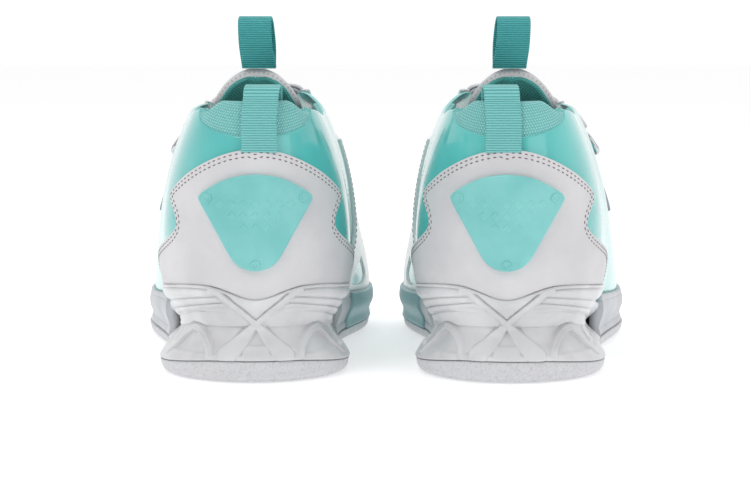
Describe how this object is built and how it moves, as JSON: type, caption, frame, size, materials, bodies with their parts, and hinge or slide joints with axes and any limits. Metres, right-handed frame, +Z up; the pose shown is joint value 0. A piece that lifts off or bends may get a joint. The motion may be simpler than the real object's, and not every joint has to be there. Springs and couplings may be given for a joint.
{
  "type": "cheer shoes",
  "caption": "Pair of low cheer shoes with a sculpted raised heel, glossy quarters, leather heel covers, padded collars, instep straps and pull loops.",
  "frame": {"origin": "centre of the pair's box, on the floor", "axes": "+Z up, +Y towards the toes, +X towards the right shoe; the pair mirrors about X = 0"},
  "size_m": [0.233, 0.2886, 0.1532],
  "materials": {
    "outsole_rubber": "speckled, fine grain",
    "heel_tpu": "satin moulded",
    "midsole_foam": "satin",
    "wrap_rubber": "satin",
    "shank_steel": "bare",
    "board": "plain",
    "footbed_fabric": "fabric over foam",
    "patent": "patent gloss",
    "white_leather": "fine grain",
    "badge_tpu": "satin moulded",
    "stiffener": "plain",
    "lining_mesh": "knitted mesh",
    "collar_mesh": "knitted mesh",
    "webbing_dark": "ribbed webbing",
    "webbing_light": "ribbed webbing",
    "strap_grey": "smooth tape",
    "ring_metal": "polished"
  },
  "bodies": {
    "left_shoe": {"left_outsole": "outsole_rubber", "left_heel_block": "heel_tpu", "left_midsole": "midsole_foam", "left_inner_wrap": "wrap_rubber", "left_shank": "shank_steel", "left_insole_board": "board", "left_footbed": "footbed_fabric", "left_vamp": "patent", "left_quarter_outer": "patent", "left_quarter_inner": "patent", "left_toe_cap": "white_leather", "left_counter_cover": "white_leather", "left_heel_badge": "badge_tpu", "left_heel_stiffener": "stiffener", "left_toe_puff": "stiffener", "left_quarter_lining": "lining_mesh", "left_vamp_lining": "lining_mesh", "left_collar_pad": "collar_mesh", "left_eyestay_outer": "white_leather", "left_eyestay_inner": "white_leather", "left_saddle": "white_leather", "left_heel_loop": "webbing_light", "left_strap_band": "strap_grey", "left_strap_ring": "ring_metal", "left_ring_tab": "strap_grey"},
    "left_tongue": {"left_tongue": "lining_mesh", "left_tongue_facing": "white_leather"},
    "left_tongue_loop": {"left_tongue_loop": "webbing_dark"},
    "left_strap": {"left_strap_tail": "white_leather"},
    "right_shoe": {"right_outsole": "outsole_rubber", "right_heel_block": "heel_tpu", "right_midsole": "midsole_foam", "right_inner_wrap": "wrap_rubber", "right_shank": "shank_steel", "right_insole_board": "board", "right_footbed": "footbed_fabric", "right_vamp": "patent", "right_quarter_outer": "patent", "right_quarter_inner": "patent", "right_toe_cap": "white_leather", "right_counter_cover": "white_leather", "right_heel_badge": "badge_tpu", "right_heel_stiffener": "stiffener", "right_toe_puff": "stiffener", "right_quarter_lining": "lining_mesh", "right_vamp_lining": "lining_mesh", "right_collar_pad": "collar_mesh", "right_eyestay_outer": "white_leather", "right_eyestay_inner": "white_leather", "right_saddle": "white_leather", "right_heel_loop": "webbing_light", "right_strap_band": "strap_grey", "right_strap_ring": "ring_metal", "right_ring_tab": "strap_grey"},
    "right_tongue": {"right_tongue": "lining_mesh", "right_tongue_facing": "white_leather"},
    "right_tongue_loop": {"right_tongue_loop": "webbing_dark"},
    "right_strap": {"right_strap_tail": "white_leather"}
  },
  "joints": [
    {"name": "right_shoe_lift", "type": "slide", "parent": "left_shoe", "child": "right_shoe", "axis": [0, 0, 1], "range_m": [0, 0.3]},
    {"name": "left_tongue_lean", "type": "hinge", "parent": "left_shoe", "child": "left_tongue", "pos_m": [-0.06289, 0.05821, 0.07135], "axis": [0.9986, 0.0523, 0], "range_deg": [0, 12]},
    {"name": "left_tongue_loop_bend", "type": "hinge", "parent": "left_tongue", "child": "left_tongue_loop", "pos_m": [-0.05834, -0.02859, 0.1282], "axis": [0.9986, 0.0523, 0], "range_deg": [-8, 40], "stiffness_Nm_per_rad": 0.003},
    {"name": "left_strap_open", "type": "hinge", "parent": "left_shoe", "child": "left_strap", "pos_m": [-0.09173, 0.01935, 0.095], "axis": [-0.1452, -0.9682, 0.2039], "range_deg": [0, 140]},
    {"name": "right_tongue_lean", "type": "hinge", "parent": "right_shoe", "child": "right_tongue", "pos_m": [0.06289, 0.05821, 0.07135], "axis": [0.9986, -0.0523, 0], "range_deg": [0, 12]},
    {"name": "right_tongue_loop_bend", "type": "hinge", "parent": "right_tongue", "child": "right_tongue_loop", "pos_m": [0.05834, -0.02859, 0.1282], "axis": [0.9986, -0.0523, 0], "range_deg": [-8, 40], "stiffness_Nm_per_rad": 0.003},
    {"name": "right_strap_open", "type": "hinge", "parent": "right_shoe", "child": "right_strap", "pos_m": [0.09173, 0.01935, 0.095], "axis": [-0.1452, 0.9682, -0.2039], "range_deg": [0, 140]}
  ]
}
